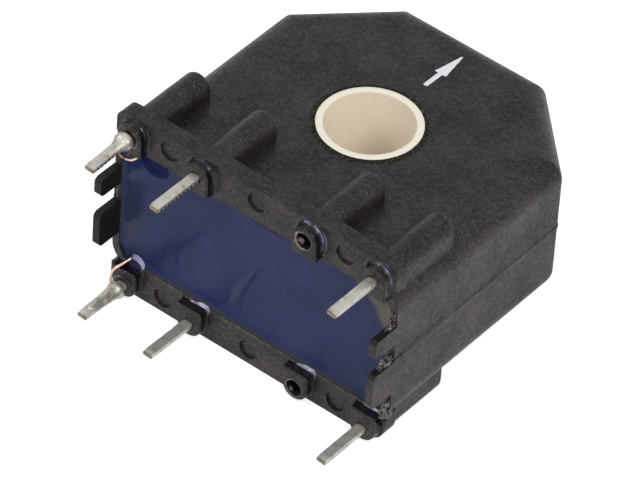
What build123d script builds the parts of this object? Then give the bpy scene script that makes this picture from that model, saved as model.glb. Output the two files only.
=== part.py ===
"""Current sense transformer for a circuit board, lying on its back as photographed.

Millimetres. The origin is the centre of the through-hole at mid-thickness, +Z runs along the
hole towards the face with the arrow, the pins point to -Y and the pin rows run along X.
"""
import math
import os

from build123d import *

# Through-hole
BORE_RADIUS = 2.75
SLEEVE_WALL = 0.45
SLEEVE_PROUD = 0.05
GLUE_GAP = 0.25

# Pin field
PIN_PITCH = 5.0
MIDDLE_GAP = 8.0
PIN_WIDTH = 0.65
PIN_THICKNESS = 0.35
PIN_REACH = 3.75
PIN_BURIED = 4.6
PIN_TIP_BEVEL = 0.06
CROPPED_TIP = 0.2
PIN_RISE = 0.75

# Moulded housing
THICKNESS = 10.0
BORE_TO_FACE = 10.4
BORE_TO_BACK = 10.2
SIDE_MARGIN = 1.45
CORNER_CUT = 5.25
EDGE_ROUND = 1.5
UPRIGHT_ROUND = 0.5
SIDE_WALL = 0.5
PLATE_WALL = 0.6
FLASH_WIDTH = 0.14
FLASH_PROUD = 0.04

# Flange strips, rib pockets and pads around the pins
FLANGE_RISE = 1.8
FLANGE_DEPTH = 1.1
FLANGE_SEAT = 0.2
FLANGE_END_RADIUS = 1.1
FLANGE_CORNER = 0.7
FLANGE_FOOT_CUT = 0.35
RIB_RADIUS = 0.95
RIB_LENGTH = 5.75
RIB_END_ROUND = 0.3
PAD_RADIUS = 0.87
PAD_DEPTH = 0.7
PAD_FLAT = 0.15
PAD_EDGE = 0.1
MOUTH_RADIUS = 0.4
MOUTH_DEPTH = 0.12
BLIND_RADIUS = 0.55
BLIND_DEPTH = 1.5

# Ejector marks in the flange strips
MARK_RADIUS = 0.65
MARK_DEPTH = 0.15

# Tabs on the side walls that stand on the board
TAB_REACH = 1.85
WIDE_TAB = 2.5
NARROW_TAB = 1.3
TAB_GAP = 1.4
TAB_START = -2.6
TAB_ROUND = 0.35

# Potting and what lies in it
RESIN_RECESS = 0.25
RESIN_COVER = 0.8
WINDING_BUILD = 0.9
WINDING_GAP_DEG = 30.0

# Magnet wire and solder
WIRE_RADIUS = 0.09
WIRE_BEND = 0.25
LEAD_BURIED = 0.9
UPPER_JOINT_GAP = 0.3
LOWER_JOINT_GAP = 0.5

# Places that follow from the sizes
inner_x = MIDDLE_GAP / 2
outer_x = inner_x + PIN_PITCH
half_width = outer_x + SIDE_MARGIN
half_thick = THICKNESS / 2
pin_z = half_thick + PIN_RISE
face_y = -BORE_TO_FACE
back_y = BORE_TO_BACK
pad_y = face_y - PAD_DEPTH
tip_y = pad_y - PIN_REACH
pin_end_y = face_y + PIN_BURIED
resin_y = face_y + RESIN_RECESS
cavity_z = half_thick - PLATE_WALL
sleeve_radius = BORE_RADIUS + SLEEVE_WALL
hole_radius = sleeve_radius + GLUE_GAP
pin_stations = (-outer_x, -inner_x, inner_x, outer_x)
empty_station = inner_x
fitted_stations = (("1", -outer_x), ("2", -inner_x), ("4", outer_x))
sides = {"upper": 1, "lower": -1}


def prism(face, direction, length):
    """Solid made by pushing a flat profile along a direction."""
    return extrude(face, amount=length, dir=direction)


def box_between(low, high):
    """Box given by its two opposite corners."""
    size = [b - a for a, b in zip(low, high)]
    middle = [(a + b) / 2 for a, b in zip(low, high)]
    return Pos(*middle) * Box(*size)


def block(inset_side, inset_plate, front):
    """The housing's six-sided form, inset from its walls and rounded along its rims.

    The cut corners keep the same wall as the sides, and the rounding shrinks with the inset.
    """
    x = half_width - inset_side
    y = back_y - inset_side
    cut = CORNER_CUT - inset_side * (2 - math.sqrt(2))
    corners = [(-x, front), (x, front), (x, y - cut), (x - cut, y), (-x + cut, y), (-x, y - cut)]
    depth = half_thick - inset_plate
    solid = extrude(make_face(Polyline(*corners, close=True)), amount=depth, both=True)
    rims = [e for e in solid.edges() if abs(abs(e.center().Z) - depth) < 1e-6 and e.center().Y > front + 1e-6]
    solid = fillet(rims, EDGE_ROUND - inset_side)
    uprights = [e for e in solid.edges().filter_by(Axis.Z) if e.center().Y > front + 1e-6]
    return fillet(uprights, UPRIGHT_ROUND)


def arch(x, side, radius, foot, start_y, length):
    """A pocket or pad: a half round about the pin axis that runs straight down to its foot."""
    crown = Plane(origin=(x, start_y, side * pin_z), x_dir=(1, 0, 0), z_dir=(0, -1, 0))
    drop = pin_z - foot
    round_part = Circle(radius)
    leg = Pos(0, -side * drop / 2) * Rectangle(2 * radius, drop)
    return prism(crown * (round_part + leg), (0, 1 if length > 0 else -1, 0), abs(length))


def tab_profile(low_z, high_z):
    """Tab seen from the side, with its two free corners rounded."""
    depth = TAB_REACH + SIDE_WALL
    middle_y = face_y + SIDE_WALL - depth / 2
    side_on = Plane(origin=(0, middle_y, (low_z + high_z) / 2), x_dir=(0, 1, 0), z_dir=(1, 0, 0))
    plate = Rectangle(depth, high_z - low_z)
    free = plate.vertices().group_by(Axis.X)[0]
    return side_on * fillet(free, TAB_ROUND)


def flange_strip(side):
    """One flange strip, square at its left end and round about the last pin at its right end."""
    low = half_thick - FLANGE_SEAT
    high = half_thick + FLANGE_RISE
    left = -half_width
    right = outer_x + FLANGE_END_RADIUS
    front_on = Plane(origin=(0, face_y, 0), x_dir=(1, 0, 0), z_dir=(0, -1, 0))
    strip = Pos((left + right) / 2, side * (low + high) / 2) * Rectangle(right - left, high - low)
    corners = strip.vertices().sort_by(lambda v: side * v.Y)
    foot = corners[:2].sort_by(Axis.X)
    crest = corners[2:].sort_by(Axis.X)
    strip = chamfer(foot[0], FLANGE_FOOT_CUT)
    strip = fillet(strip.vertices().sort_by_distance(crest[0])[0], FLANGE_CORNER)
    strip = fillet(strip.vertices().sort_by_distance(crest[1])[0], FLANGE_END_RADIUS)
    return prism(front_on * strip, (0, 1, 0), FLANGE_DEPTH)


# Housing: one glass-filled moulding, a cup that is open on the pin side
housing = block(0.0, 0.0, face_y)
flash = block(0.0, 0.0, face_y)
band = Pos(0, 0, 0) * Box(4 * half_width, 4 * BORE_TO_BACK, FLASH_WIDTH)
grown = (half_width + FLASH_PROUD) / half_width
flash = (flash & band).scale(grown) & band
housing += flash & box_between((-2 * half_width, face_y, -1), (2 * half_width, 2 * back_y, 1))

for side in sides.values():
    housing += flange_strip(side)
    for x in pin_stations:
        rib = arch(x, side, RIB_RADIUS, cavity_z, face_y, RIB_LENGTH)
        end_rim = [e for e in rib.edges().group_by(Axis.Y)[-1] if abs(e.center().Z) > half_thick]
        housing += fillet(end_rim, RIB_END_ROUND)

housing -= block(SIDE_WALL, PLATE_WALL, face_y - 1)

for side in sides.values():
    for x in pin_stations:
        pad = arch(x, side, PAD_RADIUS, cavity_z + PAD_FLAT, face_y, -PAD_DEPTH)
        front_rim = pad.edges().group_by(Axis.Y)[0]
        housing += chamfer(front_rim, PAD_EDGE)

wide_end = TAB_START + WIDE_TAB
tab_spans = ((TAB_START, wide_end), (wide_end + TAB_GAP, wide_end + TAB_GAP + NARROW_TAB))
for wall_side in (-1, 1):
    for low_z, high_z in tab_spans:
        plate = prism(tab_profile(low_z, high_z), (1, 0, 0), SIDE_WALL)
        start_x = half_width - SIDE_WALL if wall_side > 0 else -half_width
        housing += Pos(start_x, 0, 0) * plate

for side in sides.values():
    for x in pin_stations:
        mouth_on = Plane(origin=(x, pad_y, side * pin_z), x_dir=(1, 0, 0), z_dir=(0, -1, 0))
        if x == empty_station:
            housing -= prism(mouth_on * Circle(BLIND_RADIUS), (0, 1, 0), BLIND_DEPTH)
        else:
            housing -= prism(mouth_on * Circle(MOUTH_RADIUS), (0, 1, 0), MOUTH_DEPTH)
            housing -= prism(mouth_on * Rectangle(PIN_WIDTH, PIN_THICKNESS), (0, 1, 0), pin_end_y - pad_y)
    for x in (-outer_x + PIN_PITCH / 2, 0.0, outer_x - PIN_PITCH / 2):
        mark_on = Plane(origin=(x, face_y, side * pin_z), x_dir=(1, 0, 0), z_dir=(0, -1, 0))
        housing -= prism(mark_on * Circle(MARK_RADIUS), (0, 1, 0), MARK_DEPTH)

housing -= Cylinder(hole_radius, 2 * THICKNESS)

# Sleeve that lines the through-hole, held by a ring of adhesive in each large face
sleeve_length = THICKNESS + 2 * SLEEVE_PROUD
bore_sleeve = Cylinder(sleeve_radius, sleeve_length) - Cylinder(BORE_RADIUS, 2 * sleeve_length)

glue_ring = Cylinder(hole_radius, PLATE_WALL) - Cylinder(sleeve_radius, 2 * PLATE_WALL)
glue_z = half_thick - PLATE_WALL / 2
sleeve_adhesive_top = Pos(0, 0, glue_z) * glue_ring
sleeve_adhesive_bottom = Pos(0, 0, -glue_z) * glue_ring

# Wound core: a ring core and its secondary winding, with the gap of the winding towards the pins
room = min(half_width - SIDE_WALL, back_y - SIDE_WALL, BORE_TO_FACE - RESIN_RECESS)
winding_outer = room - RESIN_COVER
winding_inner = sleeve_radius + SLEEVE_WALL
winding_z = cavity_z - RESIN_COVER / 2


def ring(inner, outer, half_height, corner, degrees):
    """Ring of rounded rectangular section, turned about the bore through so many degrees."""
    section = Pos((inner + outer) / 2, 0) * RectangleRounded(outer - inner, 2 * half_height, corner)
    gap_turn = Rot(0, 0, -90 + (360 - degrees) / 2)
    return gap_turn * revolve(Plane.XZ * section, Axis.Z, degrees)


core_inner = winding_inner + WINDING_BUILD
core_outer = winding_outer - WINDING_BUILD
core_z = winding_z - WINDING_BUILD
core_corner = WINDING_BUILD / 4
toroid_core = ring(core_inner, core_outer, core_z, core_corner, 360)
winding_turn = 360 - WINDING_GAP_DEG
secondary_winding = ring(winding_inner, winding_outer, winding_z, WINDING_BUILD, winding_turn) - toroid_core

# Six flat pins: stations 1, 2 and 4 of both rows, pressed into the rib pockets; the first is
# cropped a little shorter than the rest
pins = {}
for name, side in sides.items():
    for station, x in fitted_stations:
        end_y = tip_y + CROPPED_TIP if (name, station) == ("upper", "1") else tip_y
        blank = box_between(
            (x - PIN_WIDTH / 2, end_y, side * pin_z - PIN_THICKNESS / 2),
            (x + PIN_WIDTH / 2, pin_end_y, side * pin_z + PIN_THICKNESS / 2),
        )
        tip_rim = blank.edges().group_by(Axis.Y)[0]
        pins["pin_" + name + "_" + station] = chamfer(tip_rim, PIN_TIP_BEVEL)


def wire_along(points, radii):
    """Round wire swept along straight runs joined by arcs."""
    path = FilletPolyline(*points, radius=radii)
    start = Plane(origin=path @ 0, z_dir=path % 0)
    return sweep(start * Circle(WIRE_RADIUS), path=path) - secondary_winding


def winding_end(hand, z):
    """Point on the winding's outer turn, at its left or right end beside the gap."""
    angle = math.radians(-90 + hand * (WINDING_GAP_DEG / 2 + 2))
    reach = winding_outer - WIRE_RADIUS
    return (reach * math.cos(angle), reach * math.sin(angle), z)


# Two ends of the winding: out of the resin beside station 1 and round to the pin of each row
upper_wrap_y = pad_y - UPPER_JOINT_GAP
lower_wrap_y = pad_y - LOWER_JOINT_GAP
beside_pin = PIN_WIDTH / 2 + WIRE_RADIUS
over_pin = PIN_THICKNESS / 2 + WIRE_RADIUS
upper_route = [
    winding_end(-1, winding_z / 2),
    (-outer_x + 1.5, face_y + LEAD_BURIED, cavity_z - 1.2),
    (-outer_x + 0.2, resin_y - 0.1, cavity_z - 0.25),
    (-outer_x + 0.5, face_y - 0.45, cavity_z),
    (-outer_x + 0.05, face_y - 0.65, cavity_z - 0.35),
    (-outer_x - 0.42, pad_y - 0.05, cavity_z - 0.1),
    (-outer_x - 0.3, upper_wrap_y, pin_z - over_pin - 0.25),
    (-outer_x, upper_wrap_y - 0.1, pin_z - over_pin),
]
lower_route = [
    winding_end(1, -winding_z / 2),
    (-outer_x + 1.5, face_y + LEAD_BURIED, -cavity_z + 1.0),
    (-outer_x + 0.1, resin_y - 0.1, -cavity_z + 0.13),
    (-outer_x - 0.15, face_y - 0.6, -cavity_z + 0.13),
    (-outer_x - 0.41, pad_y - 0.3, -cavity_z - 0.13),
    (-outer_x - 0.51, pad_y - 0.45, -cavity_z - 0.55),
    (-outer_x - 0.48, lower_wrap_y, -pin_z + 0.45),
    (-outer_x - beside_pin, lower_wrap_y - 0.15, -pin_z + 0.1),
]
lead_wire_upper = wire_along(upper_route, WIRE_BEND)
lead_wire_lower = wire_along(lower_route, WIRE_BEND)

# Solder on the two pins that carry the winding: a round collar above, a long cone below


def solder_on(side, profile):
    """Solder turned about a pin from pairs of distance in front of the pad and radius."""
    outline = [(0, profile[0][0])] + [(radius, reach) for reach, radius in profile] + [(0, profile[-1][0])]
    half = make_face(Polyline(*outline, close=True))
    stand = Plane(origin=(-outer_x, pad_y, side * pin_z), x_dir=(1, 0, 0), z_dir=(0, 0, 1))
    turned = revolve(stand * mirror(half, Plane.XZ), Axis((-outer_x, 0, side * pin_z), (0, 1, 0)), 360)
    return turned


upper_profile = [(0.05, 0.42), (0.18, 0.6), (0.32, 0.66), (0.5, 0.62), (0.72, 0.5), (0.95, 0.37)]
lower_profile = [(0.4, 0.5), (0.5, 0.61), (0.64, 0.58), (0.9, 0.48), (1.25, 0.41), (1.7, 0.37)]
solder_joint_upper = solder_on(1, upper_profile) - pins["pin_upper_1"] - lead_wire_upper
solder_joint_lower = solder_on(-1, lower_profile) - pins["pin_lower_1"] - lead_wire_lower

# Potting: fills the cup up to just under its rim
resin_fill = block(SIDE_WALL, PLATE_WALL, face_y - 1)
in_front = box_between((-2 * half_width, resin_y - BORE_TO_FACE, -2 * THICKNESS), (2 * half_width, resin_y, 2 * THICKNESS))
potting_resin = resin_fill - in_front - Cylinder(sleeve_radius, 2 * THICKNESS)
potting_resin -= secondary_winding
potting_resin -= toroid_core
potting_resin -= lead_wire_upper
potting_resin -= lead_wire_lower

os.makedirs("parts", exist_ok=True)
nodes = {
    "housing": housing,
    "bore_sleeve": bore_sleeve,
    "sleeve_adhesive_top": sleeve_adhesive_top,
    "sleeve_adhesive_bottom": sleeve_adhesive_bottom,
    "potting_resin": potting_resin,
    "toroid_core": toroid_core,
    "secondary_winding": secondary_winding,
    "lead_wire_upper": lead_wire_upper,
    "lead_wire_lower": lead_wire_lower,
    "solder_joint_upper": solder_joint_upper,
    "solder_joint_lower": solder_joint_lower,
    **pins,
}
for name, solid in nodes.items():
    export_step(solid, os.path.join("parts", name + ".step"))
    box = solid.bounding_box()
    low = [round(v, 2) for v in (box.min.X, box.min.Y, box.min.Z)]
    high = [round(v, 2) for v in (box.max.X, box.max.Y, box.max.Z)]
    print(name, len(solid.solids()), "solid", round(solid.volume, 2), "mm3", low, high)
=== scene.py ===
import math

import bmesh
import bpy
import numpy as np
from mathutils import Matrix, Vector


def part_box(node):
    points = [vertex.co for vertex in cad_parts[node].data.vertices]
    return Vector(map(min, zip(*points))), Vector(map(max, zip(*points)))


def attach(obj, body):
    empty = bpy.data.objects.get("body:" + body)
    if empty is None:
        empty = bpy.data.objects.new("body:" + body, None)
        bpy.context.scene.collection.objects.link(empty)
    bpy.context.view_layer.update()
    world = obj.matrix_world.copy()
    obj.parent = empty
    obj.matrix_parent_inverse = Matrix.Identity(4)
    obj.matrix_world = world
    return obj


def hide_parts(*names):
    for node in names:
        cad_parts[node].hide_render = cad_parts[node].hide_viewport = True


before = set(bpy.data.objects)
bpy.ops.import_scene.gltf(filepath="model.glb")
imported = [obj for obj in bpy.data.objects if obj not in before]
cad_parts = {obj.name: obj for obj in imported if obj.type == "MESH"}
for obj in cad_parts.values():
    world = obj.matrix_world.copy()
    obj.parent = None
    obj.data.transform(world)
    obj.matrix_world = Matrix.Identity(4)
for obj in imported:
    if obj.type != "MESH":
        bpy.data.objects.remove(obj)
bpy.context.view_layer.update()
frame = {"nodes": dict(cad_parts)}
nodes = frame["nodes"]

# Camera
# A long lens that looks down on the pin side from the front right. Lengths in this file are
# millimetres and become metres where something is made.
MM = 0.001
CAMERA_AZIMUTH = -53.603
CAMERA_ELEVATION = 42.341
CAMERA_ROLL = 3.972
CAMERA_DISTANCE = 359.898
CAMERA_AIM = (-0.658, -3.192, -2.391)
LENS_LENGTH = 345.756
SENSOR_WIDTH = 36.0
NEAREST_SEEN = 10.0
FURTHEST_SEEN = 5000.0


def look_from(azimuth, elevation, roll, aim, distance):
    """Placement of a camera that looks at a point.

    The backward axis points to the given azimuth and elevation, the level axis is turned about
    it by the roll, and the camera stands the distance away from the aim along the backward axis.
    """
    turn, rise, lean = (math.radians(angle) for angle in (azimuth, elevation, roll))
    flat = math.cos(rise)
    backward = np.array([flat * math.cos(turn), flat * math.sin(turn), math.sin(rise)])
    level = np.array([-math.sin(turn), math.cos(turn), 0.0])
    upright = np.cross(backward, level)
    right = level * math.cos(lean) + upright * math.sin(lean)
    up = np.cross(backward, right)
    placed = np.eye(4)
    placed[:3, 0] = right
    placed[:3, 1] = up
    placed[:3, 2] = backward
    placed[:3, 3] = (np.array(aim) + distance * backward) * MM
    return Matrix(placed.tolist())


lens = bpy.data.cameras.new("long_lens")
lens.sensor_width = SENSOR_WIDTH
lens.lens = LENS_LENGTH
lens.clip_start = NEAREST_SEEN * MM
lens.clip_end = FURTHEST_SEEN * MM
camera = bpy.data.objects.new("camera", lens)
camera.matrix_world = look_from(
    CAMERA_AZIMUTH, CAMERA_ELEVATION, CAMERA_ROLL, CAMERA_AIM, CAMERA_DISTANCE
)
bpy.context.scene.collection.objects.link(camera)
bpy.context.scene.camera = camera
bpy.context.scene.view_settings.view_transform = "Standard"

# Housing
# One injection moulding in black glass-filled plastic: fine mottled grain where the fibres come
# near the skin, softened moulded edges, and a dull shine on the faces. Faces that do not face up
# are painted paler and warmer, painted light for the brighter side walls; pale specks on the
# rounded faces are painted glints; the front corners of the side walls are darkened with painted
# shade. Pale dust lies along the lower rim of the cup.
PLASTIC_DARK = (0.0045, 0.0036, 0.0034, 1.0)
PLASTIC_PALE = (0.0215, 0.0222, 0.0232, 1.0)
PLASTIC_RUDDY = (0.0285, 0.0232, 0.0235, 1.0)
# Painted light: the paler, warmer colour of faces that do not face up.
SIDE_WALL_PAINTED_LIGHT = (0.0355, 0.0252, 0.024, 1.0)
# Painted glints: pale specks, most of them on rounded faces.
PLASTIC_GLINT = (0.30, 0.28, 0.26, 1.0)
RIM_DUST = (0.075, 0.064, 0.058, 1.0)
MOTTLE = (5.5, 4.0, 0.65)
GRAIN = (15.0, 2.0, 0.6)
CLOUDS = (0.45, 2.0, 0.5)
HUES = (1.3, 3.0, 0.6, 0.35, 0.65)
WRINKLES = (3.2, 2.0, 0.5, 0.5, 0.62)
WRINKLE_STRETCH = (0.7, 1.0, 1.2)
GLINT_SPOTS = (13.0, 1.0, 0.5, 0.64, 0.72)
GLINTS_ON_FLATS = 0.2
GLINT_STRENGTH = 0.42
MOTTLE_SHARE = 0.75
CLOUDS_SHARE = 0.35
GRAIN_SHARE = 0.35
WRINKLES_SHARE = 0.05
TONE_RANGE = (0.52, 0.99)
TURNED_UP = (0.3, 0.8)
FACING_UP = (0.93, 0.99)
MOTTLE_HEIGHT = 0.025
GRAIN_HEIGHT = 0.0125
WRINKLE_HEIGHT = 0.0075
MOULDED_EDGE = 0.06
SOFTENING_SAMPLES = 6
# Painted shade: darker front corners of the side walls.
CORNER_SHADE_X = (9.85, 9.95)
CORNER_SHADE_Y = (10.3, 10.6)
CORNER_SHADE_STRENGTH = 0.75
DUST_FROM_Z = (-4.62, -4.46)
DUST_TO_Z = (-4.38, -4.28)
DUST_FROM_Y = (10.0, 10.15)
DUST_RANGE = (0.3, 0.6)


class Value:
    """One output of a node. Python's operators on it add Math nodes."""

    def __init__(self, nodes, socket):
        self.nodes = nodes
        self.socket = socket

    def worked(self, operation, *numbers):
        """A Math node that works out one operation on one or two numbers."""
        sockets = dict(enumerate(numbers))
        return self.nodes.add("ShaderNodeMath", "Value", sockets, operation=operation)

    def sine(self):
        """Sine of an angle in radians."""
        return self.worked("SINE", self)

    def __add__(self, other):
        return self.worked("ADD", self, other)

    def __sub__(self, other):
        return self.worked("SUBTRACT", self, other)

    def __rsub__(self, other):
        return self.worked("SUBTRACT", other, self)

    def __mul__(self, other):
        return self.worked("MULTIPLY", self, other)

    __radd__ = __add__
    __rmul__ = __mul__


class Nodes:
    """The nodes of one material or of the sky."""

    def __init__(self, tree):
        self.tree = tree

    def add(self, kind, output, sockets, **settings):
        """One node: its type, the output wanted, its sockets' values or links, its settings."""
        node = self.tree.nodes.new(kind)
        for name, value in settings.items():
            setattr(node, name, value)
        for key, value in sockets.items():
            self.feed(self.socket(node.inputs, key), value)
        return Value(self, self.socket(node.outputs, output))

    def socket(self, sockets, key):
        """A socket by its place, name or identifier."""
        if isinstance(key, int):
            return sockets[key]
        return next(found for found in sockets if key in (found.identifier, found.name))

    def feed(self, target, value):
        """Links a value to a socket, or sets the socket's own number or colour."""
        if isinstance(value, Value):
            self.tree.links.new(value.socket, target)
        else:
            target.default_value = value

    def place(self, stretch=(1.0, 1.0, 1.0)):
        """Object coordinates in millimetres, times a stretch along each axis."""
        metres = self.add("ShaderNodeTexCoord", "Object", {})
        sockets = {0: metres, 1: tuple(factor / MM for factor in stretch)}
        return self.add("ShaderNodeVectorMath", "Vector", sockets, operation="MULTIPLY")

    def along(self, axis, vector):
        """One of the three numbers of a vector."""
        return self.add("ShaderNodeSeparateXYZ", axis, {0: vector})

    def from_axis(self):
        """Distance from the axis of the hole in millimetres."""
        flat = self.place((1.0, 1.0, 0.0))
        return self.add("ShaderNodeVectorMath", "Value", {0: flat}, operation="LENGTH")

    def attribute(self, name):
        """The strength of one of the piece's own marks."""
        return self.add("ShaderNodeAttribute", "Fac", {}, attribute_name=name)

    def noise(self, place, per_mm, detail, roughness):
        """Smooth random value from 0 to 1 with so many bumps to the millimetre."""
        sockets = {"Vector": place, "Scale": per_mm, "Detail": detail, "Roughness": roughness}
        return self.add("ShaderNodeTexNoise", "Fac", sockets)

    def ramp(self, value, low, high):
        """0 below low, 1 above high, smooth between."""
        sockets = {"Value": value, "From Min": low, "From Max": high}
        return self.add("ShaderNodeMapRange", "Result", sockets, interpolation_type="SMOOTHSTEP")

    def patches(self, place, per_mm, detail, roughness, low, high):
        """Random patches: 0 where the random value is below low, 1 where it is above high."""
        return self.ramp(self.noise(place, per_mm, detail, roughness), low, high)

    def blend(self, mask, first, second):
        """The first colour where the mask is 0, the second where it is 1."""
        sockets = {"Factor_Float": mask, "A_Color": first, "B_Color": second}
        return self.add("ShaderNodeMix", "Result_Color", sockets, data_type="RGBA")

    def softened(self, radius):
        """Normal that rounds each edge over a radius in millimetres."""
        sockets = {"Radius": radius * MM}
        return self.add("ShaderNodeBevel", "Normal", sockets, samples=SOFTENING_SAMPLES)

    def bump(self, height, normal=None):
        """Normal with a height in millimetres added to it."""
        sockets = {"Height": height, "Distance": MM, "Strength": 1.0}
        if normal is not None:
            sockets["Normal"] = normal
        return self.add("ShaderNodeBump", "Normal", sockets)

    def seen(self):
        """1 for camera, glossy and transmission rays, 0 for rays that light the object."""
        kinds = ("Is Camera Ray", "Is Glossy Ray", "Is Transmission Ray")
        straight, mirrored, through = (self.add("ShaderNodeLightPath", kind, {}) for kind in kinds)
        either = mirrored.worked("MAXIMUM", mirrored, through)
        return straight.worked("MAXIMUM", straight, either)


class Finish(Nodes):
    """The nodes of one procedural material."""

    def __init__(self, name):
        self.material = bpy.data.materials.new(name)
        self.material.use_nodes = True
        super().__init__(self.material.node_tree)
        self.shader = self.tree.nodes["Principled BSDF"]

    def shade(self, **sockets):
        """Sets the shader's sockets, written with low lines for the spaces in their names."""
        for name, value in sockets.items():
            self.feed(self.shader.inputs[name.replace("_", " ")], value)

    def dress(self, *names):
        """Puts the finish on CAD nodes."""
        for name in names:
            mesh = nodes[name].data
            mesh.materials.clear()
            mesh.materials.append(self.material)


plastic = Finish("black_moulded_plastic")
plastic_place = plastic.place()
mottle = plastic.noise(plastic_place, *MOTTLE)
grain = plastic.noise(plastic_place, *GRAIN)
clouds = plastic.noise(plastic_place, *CLOUDS)
wrinkles = plastic.patches(plastic.place(WRINKLE_STRETCH), *WRINKLES)
hues = plastic.patches(plastic_place, *HUES)
upward = plastic.along("Z", plastic.add("ShaderNodeTexCoord", "Normal", {}))
level = plastic.ramp(upward, *TURNED_UP)
curved = level * (1.0 - plastic.ramp(upward, *FACING_UP))
glints_shown = GLINTS_ON_FLATS + (1.0 - GLINTS_ON_FLATS) * curved
painted_glints = plastic.patches(plastic_place, *GLINT_SPOTS) * glints_shown
plastic_x, plastic_y, plastic_z = (plastic.along(axis, plastic_place) for axis in "XYZ")
# Painted shade at the front corners of the side walls.
shade_left = plastic.ramp(0.0 - plastic_x, *CORNER_SHADE_X)
shade_right = plastic.ramp(plastic_x, *CORNER_SHADE_X) * level
corner_shade = (shade_left + shade_right) * plastic.ramp(0.0 - plastic_y, *CORNER_SHADE_Y)
grain_mix = mottle * MOTTLE_SHARE + clouds * CLOUDS_SHARE
grain_mix = grain_mix + grain * GRAIN_SHARE + wrinkles * WRINKLES_SHARE
tone = plastic.ramp(grain_mix, *TONE_RANGE) * (1.0 - CORNER_SHADE_STRENGTH * corner_shade)
# Painted light: faces that do not face up take the paler, warmer wall colour.
plastic_pale_and_side_light = plastic.blend(level, SIDE_WALL_PAINTED_LIGHT, plastic.blend(hues, PLASTIC_PALE, PLASTIC_RUDDY))
plastic_colour = plastic.blend(tone, PLASTIC_DARK, plastic_pale_and_side_light)
# Painted glints in pale specks.
plastic_colour = plastic.blend(painted_glints * GLINT_STRENGTH, plastic_colour, PLASTIC_GLINT)
on_rim = plastic.ramp(plastic_z, *DUST_FROM_Z) * (1.0 - plastic.ramp(plastic_z, *DUST_TO_Z))
dusty = on_rim * plastic.ramp(0.0 - plastic_y, *DUST_FROM_Y) * plastic.ramp(mottle, *DUST_RANGE)
plastic_height = mottle * MOTTLE_HEIGHT + grain * GRAIN_HEIGHT + wrinkles * WRINKLE_HEIGHT
plastic.shade(
    Base_Color=plastic.blend(dusty, plastic_colour, RIM_DUST),
    Roughness=0.55,
    Specular_IOR_Level=0.15,
    Coat_Weight=(0.06 + 0.36 * tone + 0.3 * painted_glints) * (1.0 - 0.5 * corner_shade),
    Coat_Roughness=0.32,
    Normal=plastic.bump(plastic_height, plastic.softened(MOULDED_EDGE)),
)
plastic.dress("housing")

# Flow arrow
# A printed mark on the top face that gives the direction of the measured current. It is a thin
# film of white ink, a little uneven at its edges, with the plastic's grain showing through.
ARROW_TAIL = (0.25, 4.8)
ARROW_NECK = (0.29, 6.25)
ARROW_TIP = (0.33, 8.3)
ARROW_SHAFT = 0.15
ARROW_BARB = 0.41
ARROW_POINT = 0.05
ARROW_END = 0.02
ARROW_FRAY = ((0.05, 0.35, 3),)
ARROW_ROWS = 150
ARROW_COLUMNS = 15
INK_THICKNESS = 0.012
INK_WHITE = (0.74, 0.76, 0.80, 1.0)
INK_THIN = (0.34, 0.35, 0.38, 1.0)
INK_SPOTS = (6.0, 3.0, 0.7, 0.56, 0.74)
INK_GRAIN = (5.5, 3.0, 0.5)
FACE_Z = 5.0
SINES_TO_A_WAVE = 9
SINES_GAIN = 2.0
MERGED_WITHIN = 0.0002


def ripples(points, waves, seed=0):
    """Smooth random value: a sum of waves, each with a height, a length and a number that is added
    to the seed. A wave is the mean of nine sine waves of its length, each with its own random
    direction and phase, made larger so that it reaches about its height."""
    total = np.zeros(points.shape[:-1])
    for height, length, number in waves:
        random = np.random.default_rng(seed + number)
        directions = random.normal(size=(SINES_TO_A_WAVE, 3))
        directions /= np.linalg.norm(directions, axis=1, keepdims=True)
        phases = random.uniform(0.0, 2 * math.pi, SINES_TO_A_WAVE)
        sines = np.sin(points @ directions.T * (2 * math.pi / length) + phases)
        total += height * SINES_GAIN * sines.mean(axis=-1)
    return total


def ease(values, low, high):
    """0 below low, 1 above high, and between them three times the square less twice the cube."""
    share = np.clip((values - low) / (high - low), 0.0, 1.0)
    return share * share * (3 - 2 * share)


def piece(name, points, finish, ends="flat", marks=None, stands_for=None, crease=None):
    """A new piece from a grid of points in rows and columns, or from several such grids.

    A four-sided face lies between each point and its next neighbours in both directions, and each
    row closes on itself. The first and last rows are shut by flat faces, are joined to each other,
    or have already shrunk to points, as the word for the ends says.
    """
    index = np.arange(points.size // 3).reshape(-1, *points.shape[-3:-1])
    flat_ends = index[:, 0].tolist() + index[:, -1, ::-1].tolist() if ends == "flat" else []
    if ends == "joined":
        index = np.concatenate([index, index[:, :1]], axis=1)
    index = np.concatenate([index, index[:, :, :1]], axis=2)
    corners = (index[:, :-1, :-1], index[:, 1:, :-1], index[:, 1:, 1:], index[:, :-1, 1:])
    faces = np.stack(corners, axis=-1).reshape(-1, 4).tolist() + flat_ends
    mesh = bpy.data.meshes.new(name)
    mesh.from_pydata((points.reshape(-1, 3) * MM).tolist(), [], faces)
    for mark, strength in (marks or {}).items():
        layer = mesh.attributes.new(mark, "FLOAT", "POINT")
        layer.data.foreach_set("value", strength.reshape(-1).astype(np.float32))
    tidy = bmesh.new()
    tidy.from_mesh(mesh)
    bmesh.ops.remove_doubles(tidy, verts=tidy.verts, dist=MERGED_WITHIN * MM)
    bmesh.ops.recalc_face_normals(tidy, faces=tidy.faces)
    tidy.to_mesh(mesh)
    tidy.free()
    mesh.shade_smooth()
    if crease is not None:
        mesh.set_sharp_from_angle(angle=math.radians(crease))
    mesh.materials.append(finish.material)
    made = bpy.data.objects.new(name, mesh)
    bpy.context.scene.collection.objects.link(made)
    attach(made, "root")
    if stands_for is not None:
        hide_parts(stands_for)


def folded(front, behind):
    """Two sheets as one tube: each row runs out on the front and home on the back."""
    return np.concatenate([front, behind[:, ::-1]], axis=1)


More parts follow.
